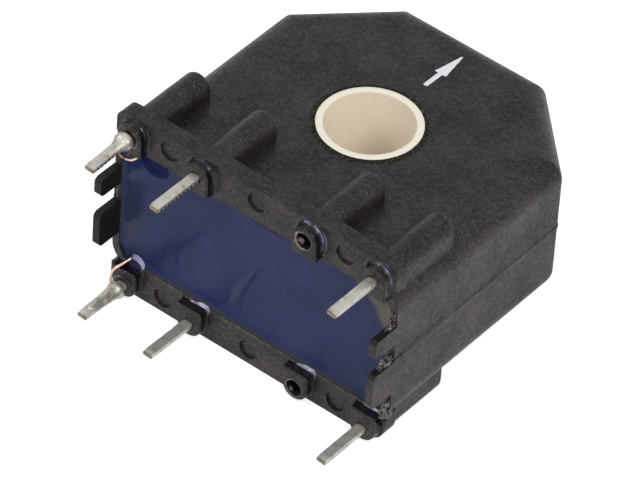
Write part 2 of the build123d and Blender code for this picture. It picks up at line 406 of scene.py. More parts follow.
def sheet(name, front, axis, back, finish, marks=None):
    """A new piece with a given front, folded onto a back that is the front pressed flat at one
    place along an axis. The back takes the front's marks."""
    behind = front.copy()
    behind[..., axis] = back
    marks = {mark: folded(strength, strength) for mark, strength in (marks or {}).items()}
    piece(name, folded(front, behind), finish, marks=marks)


def arrow_points():
    """Points of the arrow's upper side.

    Each row crosses the arrow at its share of the length. The half width is the shaft's up to the
    neck and then falls in a straight line from the barb's to the point's, and ripples fray it.
    """
    share = np.linspace(0.0, 1.0, ARROW_ROWS)[:, None]
    across = np.linspace(-1.0, 1.0, ARROW_COLUMNS)[None, :]
    tail, neck, tip = (np.array(spot) for spot in (ARROW_TAIL, ARROW_NECK, ARROW_TIP))
    middle = tail + share * (tip - tail)
    neck_share = (neck[1] - tail[1]) / (tip[1] - tail[1])
    head = np.clip((share - neck_share) / (1 - neck_share), 0.0, 1.0)
    shaft = ease(share, 0.0, ARROW_END) * ARROW_SHAFT
    half = np.where(share > neck_share, ARROW_BARB + head * (ARROW_POINT - ARROW_BARB), shaft)
    rim = np.concatenate([middle, np.zeros_like(share)], axis=1)
    frayed = half * (1 + ripples(rim, ARROW_FRAY)[:, None])
    x = middle[:, :1] + frayed * across
    y = middle[:, 1:] + 0.0 * across
    return np.stack([x, y, np.full_like(x, FACE_Z + INK_THICKNESS)], axis=-1)


ink = Finish("white_ink")
ink_place = ink.place()
ink.shade(
    Base_Color=ink.blend(ink.patches(ink_place, *INK_SPOTS), INK_WHITE, INK_THIN),
    Roughness=0.55,
    Specular_IOR_Level=0.3,
    Normal=ink.bump(ink.noise(ink_place, *INK_GRAIN) * MOTTLE_HEIGHT),
)
sheet("flow_arrow", arrow_points(), 2, FACE_Z - INK_THICKNESS, ink)

# Parting line
# The ridge where the two halves of the mould met. The side walls swell softly round it, so that it
# fades out towards the pins and only a hair of it stands out further back.
WALL_X = 10.45
RIDGE_X = 10.49
RIDGE_HALF_Z = 0.07
SWELL_Y = (-9.9, 4.7)
SWELL_END_LENGTHS = (0.6, 1.0)
SWELL_HALF_Z = 0.5
SWELL_BACK = 10.3
SWELL_SUNK = 0.005
SWELL_CREST = 0.9
SWELL_FALL = 0.2
SWELL_FALL_Y = (-6.5, -3.5)
SWELL_ROWS = 160
SWELL_COLUMNS = 41


def swell_points(side):
    """Points of the swelling on one side wall: it comes close under the ridge's crest along the
    middle, eases down to just under the wall at its edges and ends, and lies lower further back."""
    y = np.linspace(*SWELL_Y, SWELL_ROWS)[:, None]
    z = np.linspace(-SWELL_HALF_Z, SWELL_HALF_Z, SWELL_COLUMNS)[None, :]
    y, z = np.broadcast_arrays(y, z)
    first, last = SWELL_Y
    first_end, last_end = SWELL_END_LENGTHS
    height = SWELL_CREST - SWELL_FALL * ease(y, *SWELL_FALL_Y)
    ends = ease(y, first, first + first_end) * (1 - ease(y, last - last_end, last))
    shape = 1 - ease(np.abs(z), RIDGE_HALF_Z, SWELL_HALF_Z)
    x = WALL_X - SWELL_SUNK + (RIDGE_X - WALL_X + SWELL_SUNK) * height * ends * shape
    return np.stack([side * x, y, z], axis=-1)


for name, side in (("swelling_right", 1), ("swelling_left", -1)):
    sheet(name, swell_points(side), 0, side * SWELL_BACK, plastic)

# Sleeve
# A smooth off-white tube pushed through the hole, which insulates the measured conductor. It is
# moulded and its rims are slightly rounded. Inside the bore it is painted paler and yellower:
# painted light for the light that comes through its thin wall and bounces round inside.
SLEEVE_CREAM = (0.84, 0.79, 0.68, 1.0)
# Painted light: the paler, yellower colour inside the bore.
SLEEVE_PAINTED_GLOW = (0.95, 0.85, 0.69, 1.0)
SLEEVE_SPECK = (0.42, 0.33, 0.22, 1.0)
SLEEVE_SPECKS = (4.5, 1.0, 0.5, 0.74, 0.8)
SPECK_STRENGTH = 0.5
BLOTCHES = (1.1, 3.0, 0.6)
MOULD_RINGS = (9.0, 2.0, 0.5)
RING_STRETCH = (0.15, 0.15, 1.0)
RING_HEIGHT = 0.004
SLEEVE_EDGE = 0.17
BORE_RADIUS = 2.75
RIM_FADE = 0.12

sleeve = Finish("off_white_sleeve")
sleeve_place = sleeve.place()
in_bore = 1.0 - sleeve.ramp(sleeve.from_axis(), BORE_RADIUS, BORE_RADIUS + RIM_FADE)
blotches = sleeve.noise(sleeve_place, *BLOTCHES)
sleeve_specks = sleeve.patches(sleeve_place, *SLEEVE_SPECKS)
# Painted light inside the bore.
sleeve_colour = sleeve.blend(in_bore * (0.5 + 0.5 * blotches), SLEEVE_CREAM, SLEEVE_PAINTED_GLOW)
mould_rings = sleeve.noise(sleeve.place(RING_STRETCH), *MOULD_RINGS)
sleeve.shade(
    Base_Color=sleeve.blend(sleeve_specks * SPECK_STRENGTH, sleeve_colour, SLEEVE_SPECK),
    Roughness=0.38 + 0.12 * blotches,
    Specular_IOR_Level=0.4,
    Coat_Weight=0.9 * in_bore,
    Coat_Roughness=0.4,
    Normal=sleeve.bump(mould_rings * RING_HEIGHT, sleeve.softened(SLEEVE_EDGE)),
)
sleeve.dress("bore_sleeve")

# Adhesive round the sleeve
# A bead of brown adhesive run into the gap between sleeve and housing on both faces. It stands
# up unevenly over the sleeve's outer edge and is smeared over the edge of the hole in places.
# Over the gap by the sleeve it is near black: partly the adhesive's own dark colour and partly
# painted shade in the gap. The small pale glints on it are painted highlights.
SLEEVE_OUTSIDE = 3.2
HOLE_RADIUS = 3.45
BEAD_OVERLAP = 0.09
BEAD_DEPTH = 0.6
BEAD_PROUD = 0.055
BEAD_WAVES = ((0.012, 1.6, 0), (0.01, 0.5, 1))
BEAD_SQUARENESS = 0.5
BEAD_ROLL = 0.045
BEAD_ROLL_RANGE = (0.2, 0.9)
BEAD_SMEAR = 0.2
SMEAR_WAVES = ((0.5, 0.6, 2), (0.5, 0.25, 3))
SMEAR_RANGE = (-0.6, 0.8)
BEAD_ROWS = 420
BEAD_COLUMNS = 28
BEADS = {"top": (1, 11), "bottom": (-1, 17)}
ADHESIVE_DARK_AND_SHADE = (0.002, 0.0015, 0.001, 1.0)
ADHESIVE_BROWN = (0.042, 0.032, 0.018, 1.0)
ADHESIVE_GLINT = (0.15, 0.12, 0.08, 1.0)
SMEARS = (3.0, 4.0, 0.7)
BROWN_SPECKS = (6.0, 4.0, 0.75, 0.42, 0.62)
ADHESIVE_GLINTS = (9.0, 2.0, 0.5, 0.6, 0.7)
SPECK_HEIGHT = 0.03
BROWN_FROM = (3.5, 3.7)


def once_round(steps):
    """Angles of a full turn in even steps."""
    return np.linspace(0.0, 2 * math.pi, steps, endpoint=False)


def squared(wave, power):
    """A sine or cosine with its size raised to a power and its sign kept."""
    return np.sign(wave) * np.abs(wave) ** power


def bead(side, seed):
    """Points of one bead.

    A rounded square section is carried round the sleeve. Its top rises and falls with ripples and
    rolls down to its outer edge, which flows out over the face where other ripples are high.
    """
    turn = once_round(BEAD_ROWS)[:, None]
    around = once_round(BEAD_COLUMNS)[None, :]
    middle = (SLEEVE_OUTSIDE + HOLE_RADIUS) / 2
    half_width = (HOLE_RADIUS - SLEEVE_OUTSIDE) / 2 + BEAD_OVERLAP
    spot = np.stack([middle * np.cos(turn), middle * np.sin(turn), 0 * turn], axis=-1)
    out = squared(np.cos(around), BEAD_SQUARENESS)
    rise = squared(np.sin(around), BEAD_SQUARENESS)
    smear = BEAD_SMEAR * ease(ripples(spot, SMEAR_WAVES, seed), *SMEAR_RANGE)
    radius = middle + half_width * out + smear * np.clip(out, 0, 1) * np.clip(rise, 0, 1)
    roll = BEAD_ROLL * ease(out, *BEAD_ROLL_RANGE)
    top = FACE_Z + BEAD_PROUD + ripples(spot, BEAD_WAVES, seed) - roll
    height = FACE_Z - BEAD_DEPTH / 2 + rise * (top - FACE_Z + BEAD_DEPTH / 2)
    return np.stack([radius * np.cos(turn), radius * np.sin(turn), side * height], axis=-1)


adhesive = Finish("brown_adhesive")
adhesive_place = adhesive.place()
smears = adhesive.noise(adhesive_place, *SMEARS)
brown_specks = adhesive.patches(adhesive_place, *BROWN_SPECKS)
outer = adhesive.ramp(adhesive.from_axis() + 0.5 * smears, *BROWN_FROM)
# Near black over the gap: the adhesive's dark colour and painted shade.
adhesive_colour = adhesive.blend(outer * brown_specks, ADHESIVE_DARK_AND_SHADE, ADHESIVE_BROWN)
adhesive_glints = adhesive.patches(adhesive_place, *ADHESIVE_GLINTS)
adhesive.shade(
    Base_Color=adhesive.blend(adhesive_glints, adhesive_colour, ADHESIVE_GLINT),
    Roughness=0.4 + 0.3 * smears,
    Specular_IOR_Level=0.12,
    Normal=adhesive.bump(brown_specks * SPECK_HEIGHT),
)
for face, (side, seed) in BEADS.items():
    name = f"adhesive_bead_{face}"
    ring = f"sleeve_adhesive_{face}"
    piece(name, bead(side, seed), adhesive, "joined", stands_for=ring)

# Casting resin
# Blue resin poured into the cup to just under its rim. Its skin is glossy and almost flat, climbs
# a little at the walls, and keeps faint clouds and some streaks from the pouring. Its dark streaks
# and dark patch are painted dark reflections, with painted shade along the upper wall, and its
# pale streaks are painted reflections and painted light.
RESIN_LEVEL = 10.15
RESIN_HALF_X = 9.95
RESIN_HALF_Z = 4.4
SKIN_OVERLAP = 0.03
SKIN_LIFT = 0.015
SKIN_STEP = 0.07
SKIN_BACK = 10.1
SKIN_WAVES = ((0.012, 7.0, 6), (0.0048, 2.6, 7))
LOWER_CLIMB = 0.2
LOWER_CLIMB_WAVES = ((0.12, 2.3, 5),)
UPPER_CLIMB = 0.06
SIDE_CLIMB = 0.17
SIDE_CLIMB_WAVES = ((0.4, 1.7, 8),)
CLIMB_REACH = 0.28
RESIN_BLUE = (0.011, 0.0165, 0.076, 1.0)
RESIN_BLUER = (0.016, 0.024, 0.097, 1.0)
# Painted dark reflections, and painted shade along the upper wall.
RESIN_PAINTED_DARK = (0.003, 0.006, 0.062, 1.0)
# Painted light: pale streaks for reflections and lighter patches on the left.
RESIN_PAINTED_LIGHT = (0.040, 0.046, 0.098, 1.0)
RESIN_SPECK = (0.16, 0.16, 0.24, 1.0)
RESIN_HAZE = (0.105, 0.095, 0.078, 1.0)
RESIN_THIN = (0.032, 0.030, 0.030, 1.0)
RESIN_CLOUDS = (0.35, 3.0, 0.55)
BLUER_RANGE = (0.35, 0.7)
RESIN_WISPS = (1.6, 3.0, 0.6)
WISP_STRETCH = (0.5, 1.0, 1.4)
WISP_HEIGHT = 0.006
RESIN_DUST = (5.0, 1.0, 0.5, 0.755, 0.79)
DUST_STRENGTH = 0.3
DUST_HEIGHT = 0.01
RAGGED_EDGE = (2.8, 6.0, 0.75)
THIN_RAGGED = 0.7
THIN_RANGE = (0.65, 1.2)
HAZE_RAGGED = 1.5
HAZE_RANGE = (0.75, 1.6)
HAZE_INSIDE = (0.02, 0.7)
STREAKS = {
    "painted_dark": (
        (
            (-4.06, 0.99, 0.14), (-4.46, 0.21, 0.24), (-5.02, -0.59, 0.32), (-5.67, -1.53, 0.34),
            (-5.81, -2.34, 0.28), (-5.69, -2.9, 0.14), 0.4,
        ),
        ((-6.62, -1.75, 0.15), (-6.76, -2.39, 0.23), (-6.68, -2.79, 0.12), 0.34),
        (
            (0.22, 0.54, 0.08), (-0.18, -0.41, 0.2), (-0.57, -1.37, 0.28), (-0.9, -2.28, 0.24),
            (-0.92, -3.17, 0.1), 0.5,
        ),
        ((-2.1, 4.35, 0.2), (0.98, 4.3, 0.5), (2.9, 4.35, 0.3), 0.75),
        ((5.2, 4.35, 0.3), (7.4, 4.35, 0.5), 0.6),
    ),
    "painted_light": (
        (
            (-1.72, -3.2, 0.08), (-1.3, -2.13, 0.4), (-0.85, -1.12, 0.4), (-0.37, -0.25, 0.22),
            (0.1, 0.4, 0.05), 0.85,
        ),
        ((-9.9, 1.05, 0.1), (-9.2, 1.3, 0.2), 0.5),
        ((-9.7, -3.3, 0.3), (-8.9, -2.9, 0.15), 0.45),
        ((-9.3, 2.6, 0.3), (-9.2, 1.4, 0.6), (-9.3, 0.2, 0.7), (-9.3, -2.4, 0.8), 0.75),
        ((-8.6, 2.6, 0.3), (-8.5, 1.0, 0.6), (-8.55, -0.4, 0.5), 0.6),
    ),
    "haze": (
        ((7.4, 4.4, 0.6), (8.7, 4.0, 1.3), (9.7, 3.5, 1.7), (10.0, 2.2, 1.3), 1.0),
        ((9.9, 1.2, 0.3), (9.9, 0.2, 0.5), 0.6),
        ((9.9, -2.8, 0.5), (9.6, -4.2, 0.6), 0.5),
    ),
    "thin": (
        (
            (-7.9, -4.5, 0.3), (-4.9, -4.5, 0.5), (-1.0, -4.55, 0.5), (3.0, -4.5, 0.5),
            (8.0, -4.45, 0.4), 1.0,
        ),
        ((-10.0, 3.0, 0.25), (-10.0, -3.9, 0.25), 0.6),
    ),
}
STREAK_CORE = 0.25
LENS_MIDDLE = (-7.62, 3.75)
LENS_LONG = 1.15
LENS_WIDE = 0.8
LENS_TILT = 0.14
LENS_CORE = 0.82


def stroke(x, z, points):
    """Soft mark along a line of points, each with its own half width: 1 on the line and 0 at the
    half width, eased between them."""
    nearest = np.full_like(x, np.inf)
    for (x0, z0, width0), (x1, z1, width1) in zip(points, points[1:]):
        run = np.array([x1 - x0, z1 - z0])
        share = np.clip(((x - x0) * run[0] + (z - z0) * run[1]) / (run @ run), 0.0, 1.0)
        away = np.hypot(x - x0 - share * run[0], z - z0 - share * run[1])
        nearest = np.minimum(nearest, away / (width0 + share * (width1 - width0)))
    return 1 - ease(nearest, STREAK_CORE, 1.0)


def marked(x, z, streaks):
    """The strongest of several soft marks at each point. A mark's last number is its strength."""
    strongest = np.zeros_like(x)
    for *points, strength in streaks:
        strongest = np.maximum(strongest, strength * stroke(x, z, points))
    return strongest


def dark_lens(x, z):
    """The dark patch, a painted dark reflection: 1 inside a tilted ellipse and 0 outside it, eased
    at its edge.
    """
    x = x - LENS_MIDDLE[0]
    z = z - LENS_MIDDLE[1]
    along = (x * math.cos(LENS_TILT) + z * math.sin(LENS_TILT)) / LENS_LONG
    aside = (z * math.cos(LENS_TILT) - x * math.sin(LENS_TILT)) / LENS_WIDE
    return 1 - ease(np.hypot(along, aside), LENS_CORE, 1.0)


def climb(height, away):
    """Climb of the resin at a wall: its height dies away with the exponential of the distance."""
    return height * np.exp(-away.clip(0.0) / CLIMB_REACH)


def resin_level(x, z):
    """Distance of the resin's free surface in front of the bore: the level, plus the highest of
    the climbs at the walls, plus slow ripples."""
    spot = np.stack([x, 0 * x, z], axis=-1)
    lower = climb(LOWER_CLIMB * (1 + ripples(spot, LOWER_CLIMB_WAVES)), RESIN_HALF_Z + z)
    upper = climb(UPPER_CLIMB, RESIN_HALF_Z - z)
    sides = climb(SIDE_CLIMB * (1 + ripples(spot, SIDE_CLIMB_WAVES)), RESIN_HALF_X - np.abs(x))
    highest = np.maximum(np.maximum(lower, upper), sides)
    return RESIN_LEVEL + SKIN_LIFT + highest + ripples(spot, SKIN_WAVES)


def resin_front():
    """Points of the resin's free surface and the marks on it."""
    half_x = RESIN_HALF_X + SKIN_OVERLAP
    half_z = RESIN_HALF_Z + SKIN_OVERLAP
    x = np.linspace(-half_x, half_x, round(2 * half_x / SKIN_STEP))[:, None]
    z = np.linspace(-half_z, half_z, round(2 * half_z / SKIN_STEP))[None, :]
    x, z = np.broadcast_arrays(x, z)
    marks = {mark: marked(x, z, streaks) for mark, streaks in STREAKS.items()}
    marks["painted_dark"] = np.maximum(marks["painted_dark"], dark_lens(x, z))
    return np.stack([x, -resin_level(x, z), z], axis=-1), marks


resin = Finish("blue_casting_resin")
resin_place = resin.place()
resin_clouds = resin.noise(resin_place, *RESIN_CLOUDS)
resin_wisps = resin.noise(resin.place(WISP_STRETCH), *RESIN_WISPS)
resin_dust = resin.patches(resin_place, *RESIN_DUST)
ragged = resin.noise(resin_place, *RAGGED_EDGE)
painted_dark, painted_light, haze, thin = (resin.attribute(mark) for mark in STREAKS)
resin_colour = resin.blend(resin.ramp(resin_clouds, *BLUER_RANGE), RESIN_BLUE, RESIN_BLUER)
# Painted dark: reflections of the pins and flange, and shade along the upper wall.
resin_colour = resin.blend(painted_dark, resin_colour, RESIN_PAINTED_DARK)
# Painted light in the pale streaks.
resin_colour = resin.blend(painted_light * (0.5 + 0.7 * resin_wisps), resin_colour, RESIN_PAINTED_LIGHT)
thinned = resin.ramp(thin + THIN_RAGGED * ragged, *THIN_RANGE)
resin_colour = resin.blend(thinned, resin_colour, RESIN_THIN)
hazy = resin.ramp(haze + HAZE_RAGGED * ragged, *HAZE_RANGE) * resin.ramp(haze, *HAZE_INSIDE)
resin_colour = resin.blend(hazy, resin_colour, RESIN_HAZE)
resin.shade(
    Base_Color=resin.blend(resin_dust * DUST_STRENGTH, resin_colour, RESIN_SPECK),
    Roughness=0.5,
    Specular_IOR_Level=0.05,
    Coat_Weight=(0.18 + 0.08 * resin_clouds) * (1.0 - 0.9 * painted_dark),
    Coat_Roughness=0.16,
    Normal=resin.bump(resin_wisps * WISP_HEIGHT + resin_dust * DUST_HEIGHT),
)
resin.dress("potting_resin")
skin, skin_marks = resin_front()
sheet("resin_skin", skin, 1, -SKIN_BACK, resin, skin_marks)

# Resin over the left wall
# Resin that ran over the front edge of the left wall and set there as a thin uneven film, grey with
# the wall behind it and specked with pale smudges.
OVERFLOW_X = (-10.36, -9.88)
OVERFLOW_Z = (-3.9, 3.9)
OVERFLOW_FRONT = 10.42
OVERFLOW_BACK = 10.2
OVERFLOW_SUNK = 0.02
OVERFLOW_WIDTH = 0.8
OVERFLOW_WAVES = ((0.2, 1.3, 141),)
OVERFLOW_ROWS = 24
OVERFLOW_COLUMNS = 160
WALL_EDGE_X = (-10.01, -9.9)
SMUDGE_WAVES = ((1.0, 0.7, 142), (0.8, 0.22, 143))
SMUDGE_RANGE = (0.5, 1.3)
THIN_EVERYWHERE = 1.2


def overflow_points():
    """Points of the film's front and the marks on it: it lies on the wall's edge, falls to the
    resin's level inside the wall, and its outer edge wavers with a ripple."""
    across = np.linspace(0.0, 1.0, OVERFLOW_ROWS)[:, None]
    z = np.linspace(*OVERFLOW_Z, OVERFLOW_COLUMNS)[None, :]
    edge = np.stack([0 * z, 0 * z, z], axis=-1)
    reach = (OVERFLOW_X[1] - OVERFLOW_X[0]) * (OVERFLOW_WIDTH + ripples(edge, OVERFLOW_WAVES))
    x = OVERFLOW_X[1] - across * reach
    z = z + 0 * x
    inside = ease(x, *WALL_EDGE_X)
    front = OVERFLOW_FRONT + inside * (resin_level(x, z) - OVERFLOW_SUNK - OVERFLOW_FRONT)
    spot = np.stack([x, front, z], axis=-1)
    smudges = ease(ripples(spot, SMUDGE_WAVES), *SMUDGE_RANGE)
    marks = {"haze": smudges, "thin": np.full_like(x, THIN_EVERYWHERE)}
    return np.stack([x, -front, z], axis=-1), marks


overflow, overflow_marks = overflow_points()
sheet("resin_overflow_left", overflow, 1, -OVERFLOW_BACK, resin, overflow_marks)

# Resin collars
# Resin that crept up and set as a dark glossy film on the sides of each pad, with a hollow fillet
# at its foot: wide where the pad stands in the resin, narrow on the flange strip. A flat drop of
# the same resin lies round the foot of the lower wire. Pale painted highlights lie along the
# fillets at the feet of the lower pads, in thin arcs on the upper collars, and on the right of
# the drop's brim.
PIN_Z = 5.75
FACE_Y = 10.4
PAD_RADIUS = 0.87
PAD_FLAT_Z = 4.55
PAD_CENTRE_Z = 5.3
CREST_Z = 6.79
FILM = 0.012
HOLLOWNESS = 1.6
RIDGE = 0.02
RIDGE_WAVE = 11.0
COLLAR_OVERLAP = 0.05
COLLAR_SUNK = 0.1
COLLAR_LIFT = 0.022
TOP_LIFT = 0.004
COLLAR_WAVES = ((0.16, 1.1, 0), (0.08, 0.45, 1))
COLLAR_ROWS = 240
COLLAR_COLUMNS = 20
TANGENT_STEPS = (1, 2, 3)
LEAST_DIVISOR = 1e-6
RESIN_SIDE = (0.3, 0.6)
RIGHT_SIDE = (-0.6, 0.5)
RIM_EDGE_Z = (4.34, 4.43)
PATCHY_WAVES = ((1.0, 0.6, 2),)
PATCHY_RANGE = (-0.7, 0.6)
FLAT_SIDE = (0.55, 0.68)
HIGHLIGHT_FROM_RIGHT = (0.02, 0.16)
HIGHLIGHT_FROM = (0.3, 0.5)
HIGHLIGHT_TO = (0.88, 0.99)
ARCS = ((0.3, 1.0), (0.8, 0.8))
ARC_WIDTH = 0.09
ARC_LEAN = 0.6
ARC_RANGE = (0.35, 0.85)
COLLAR_SEEDS = range(30, 54, 3)
COLLARS = {
    "collar_upper_1": (-9.0, 1, 0.2, 0.6, 0.06, 0.5, 0.0),
    "collar_upper_2": (-4.0, 1, 0.24, 0.6, 0.06, 0.5, 0.12),
    "collar_upper_3": (4.0, 1, 0.36, 0.62, 0.06, 0.5, 0.5),
    "collar_upper_4": (9.0, 1, 0.3, 0.6, 0.06, 0.5, 0.3),
    "collar_lower_1": (-9.0, -1, 0.12, 0.5, 0.2, 0.68, 0.0),
    "collar_lower_2": (-4.0, -1, 0.1, 0.5, 0.21, 0.66, 1.0),
    "collar_lower_3": (4.0, -1, 0.1, 0.5, 0.24, 0.66, 1.0),
    "collar_lower_4": (9.0, -1, 0.1, 0.5, 0.2, 0.66, 1.0),
}
DROP_X = -8.68
DROP_Z = -4.5
DROP_SPREAD_X = 0.86
DROP_SPREAD_Z = 0.78
DROP_LIFT = 0.03
DROP_RISE = 0.5
DROP_WAVES = ((0.06, 1.6, 71),)
DROP_ROWS = 22
DROP_COLUMNS = 72
DROP_CROWDING = 0.8
DOME_EDGE = 0.84
BRIM_RISE = 0.12
BRIM_FADE = (0.7, 1.0)
DROP_SKIRT = 1.06
SKIRT_SUNK = 0.3
BRIM_FROM = (0.68, 0.76)
BRIM_TO = (0.93, 1.0)
BRIM_HEADING = 0.35
BRIM_RANGE = (-0.25, 0.25)
FILM_DARK = (0.003, 0.003, 0.006, 1.0)
FILM_BROWN = (0.016, 0.013, 0.012, 1.0)
# Painted highlight colour for the fillets, arcs and drop brim.
FILM_PAINTED_LIGHT = (0.36, 0.37, 0.56, 1.0)
FILM_SPECK = (0.42, 0.42, 0.44, 1.0)
DROP_BLUE = (0.012, 0.010, 0.038, 1.0)
FILM_PATCHES = (2.2, 3.0, 0.6)
BROWN_RANGE = (0.45, 0.75)
FILM_SPECKS = (9.0, 2.0, 0.6, 0.71, 0.76)
PAINTED_LIGHT_PATCHES = (5.0, 2.0, 0.5)
FILM_PIMPLES = (9.0, 2.0, 0.5)
PATCH_HEIGHT = 0.03
PIMPLE_HEIGHT = 0.006


def pad_outline(cosine, sine):
    """Outline of a pad about its middle and, at each point, the direction square to it.

    The outline is a half round on two straight legs, closed by its flat. The square direction is
    the run between the points on both sides, turned a quarter outwards.
    """
    lift = PIN_Z - PAD_CENTRE_Z
    to_leg = PAD_RADIUS / np.maximum(np.abs(cosine), LEAST_DIVISOR)
    to_flat = (PAD_CENTRE_Z - PAD_FLAT_Z) / np.maximum(-sine, LEAST_DIVISOR)
    to_flat = np.where(sine < 0, to_flat, np.inf)
    to_round = lift * sine + np.sqrt(PAD_RADIUS**2 - (lift * cosine) ** 2)
    reach = np.minimum(np.where(to_leg * sine < lift, to_leg, to_round), to_flat)
    outline = np.concatenate([reach * cosine, reach * sine], axis=1)
    ahead = sum(np.roll(outline, -step, axis=0) for step in TANGENT_STEPS)
    behind = sum(np.roll(outline, step, axis=0) for step in TANGENT_STEPS)
    run = ahead - behind
    outward = np.stack([run[:, 1], -run[:, 0]], axis=-1)
    return outline, outward / np.linalg.norm(outward, axis=1, keepdims=True)


def collar(x, side, width, height, resin_width, resin_height, highlight_strength, seed):
    """Points of one collar and the painted highlights on it.

    A section is carried round the pad: out from under the surface, in along a hollow curve whose
    distance from the pad falls with a power of one less the sine and carries two low ridges, up
    the pad's side as a film, and down inside. At the foot of a lower pad it widens to the right.
    """
    turn = once_round(COLLAR_ROWS)[:, None]
    cosine = np.cos(turn)
    sine = np.sin(turn)
    outline, outward = pad_outline(cosine, sine)
    in_resin = ease(-sine, *RESIN_SIDE)
    to_right = ease(cosine, *RIGHT_SIDE)
    spot = np.concatenate([outline, np.zeros_like(turn)], axis=1)
    uneven = 1 + ripples(spot, COLLAR_WAVES, seed)[:, None]
    foot = resin_width * (0.5 + 0.5 * to_right) if side < 0 else resin_width
    wide = (width + in_resin * (foot - width)) * uneven
    high = height + in_resin * (resin_height - height)
    slope = np.linspace(0.0, math.pi / 2, COLLAR_COLUMNS)[None, :]
    ridges = RIDGE * np.sin(slope * RIDGE_WAVE) * (1 - in_resin) * np.sqrt(np.cos(slope))
    hollow = FILM + (wide - FILM) * (1 - np.sin(slope)) ** HOLLOWNESS + ridges
    rising = 1 - np.cos(slope) + 0 * hollow
    buried = np.full_like(wide, -COLLAR_OVERLAP)
    out = np.concatenate([wide + COLLAR_OVERLAP, hollow, buried, buried], axis=1)
    lifted = np.concatenate([0 * wide, rising, 1 + 0 * wide, 0 * wide], axis=1)
    sunk = np.zeros_like(out)
    sunk[:, [0, -1]] = COLLAR_SUNK
    edge = outline[:, None, :] + out[..., None] * outward[:, None, :]
    across = x + edge[..., 0]
    upright = side * np.minimum(PAD_CENTRE_Z + edge[..., 1], CREST_Z)
    level_here = resin_level(across, upright)
    low = level_here + ease(np.abs(upright), *RIM_EDGE_Z) * (FACE_Y - level_here) + COLLAR_LIFT
    front = low - sunk + lifted * (FACE_Y + high + TOP_LIFT - low)
    points = np.stack([across, -front, upright], axis=-1)
    share = out / wide
    patchy = ease(ripples(points, PATCHY_WAVES, seed), *PATCHY_RANGE)
    if side < 0:
        on_flat = ease(-sine, *FLAT_SIDE) * ease(to_right, *HIGHLIGHT_FROM_RIGHT)
        band = on_flat * ease(share, *HIGHLIGHT_FROM) * (1 - ease(share, *HIGHLIGHT_TO))
        painted_light = band * (0.55 + 0.45 * patchy)
    else:
        arcs = sum(strong * np.exp(-(((share - at) / ARC_WIDTH) ** 2)) for at, strong in ARCS)
        painted_light = arcs * ease(ARC_LEAN * cosine + sine, *ARC_RANGE) * patchy
    return points, {"painted_light": highlight_strength * painted_light}


def drop_points():
    """Points of the drop round the foot of the lower wire and the marks on it.

    Rings about its middle, from the top outwards: the rise falls with the square root of one less
    the square of the distance and runs out in a low brim, whose right side carries a painted
    highlight. The whole drop is calm, without the film's specks.
    """
    share = np.append(np.linspace(0.0, 1.0, DROP_ROWS) ** DROP_CROWDING, DROP_SKIRT)[:, None]
    turn = once_round(DROP_COLUMNS)[None, :]
    spot = np.stack([share * np.cos(turn), share * np.sin(turn), 0 * share * turn], axis=-1)
    lump = 1 + ripples(spot, DROP_WAVES)
    dome = np.sqrt(np.clip(1 - (share / DOME_EDGE) ** 2, 0.0, 1.0))
    dome = dome + BRIM_RISE * (1 - ease(share, *BRIM_FADE))
    rise = RESIN_LEVEL + DROP_LIFT + DROP_RISE * dome / (1 + BRIM_RISE) - SKIRT_SUNK * (share > 1)
    x = DROP_X + DROP_SPREAD_X * spot[..., 0] * lump
    z = DROP_Z + DROP_SPREAD_Z * spot[..., 1] * lump
    brim = ease(share, *BRIM_FROM) * (1 - ease(share, *BRIM_TO))
    right = ease(np.cos(turn - BRIM_HEADING), *BRIM_RANGE)
    marks = {"painted_light": brim * right, "calm": np.ones_like(x)}
    return np.stack([x, -rise + 0 * x, z], axis=-1), marks


film = Finish("dark_resin_film")
film_place = film.place()
film_patches = film.noise(film_place, *FILM_PATCHES)
film_calm = film.attribute("calm")
film_colour = film.blend(film.ramp(film_patches, *BROWN_RANGE), FILM_DARK, FILM_BROWN)
film_specks = film.patches(film_place, *FILM_SPECKS) * (1.0 - film_calm)
film_colour = film.blend(film_specks, film_colour, FILM_SPECK)
film_colour = film.blend(film_calm, film_colour, DROP_BLUE)
# Painted highlights on the fillets, arcs and drop brim.
film_painted_light = film.attribute("painted_light") * (0.75 + 0.4 * film.noise(film_place, *PAINTED_LIGHT_PATCHES))
film_pimples = film.noise(film_place, *FILM_PIMPLES)
film.shade(
    Base_Color=film.blend(film_painted_light, film_colour, FILM_PAINTED_LIGHT),
    Roughness=0.3,
    Specular_IOR_Level=0.08,
    Coat_Weight=(0.1 + 0.5 * film_patches) * (1.0 - 0.7 * film_calm),
    Coat_Roughness=0.1,
    Normal=film.bump(film_patches * PATCH_HEIGHT + film_pimples * PIMPLE_HEIGHT),
)
drop, drop_marks = drop_points()
piece("resin_drop", drop, film, marks=drop_marks)
for seed, (name, collar_sizes) in zip(COLLAR_SEEDS, COLLARS.items()):
    collar_points, collar_marks = collar(*collar_sizes, seed)
    piece(name, collar_points, film, "joined", marks=collar_marks)

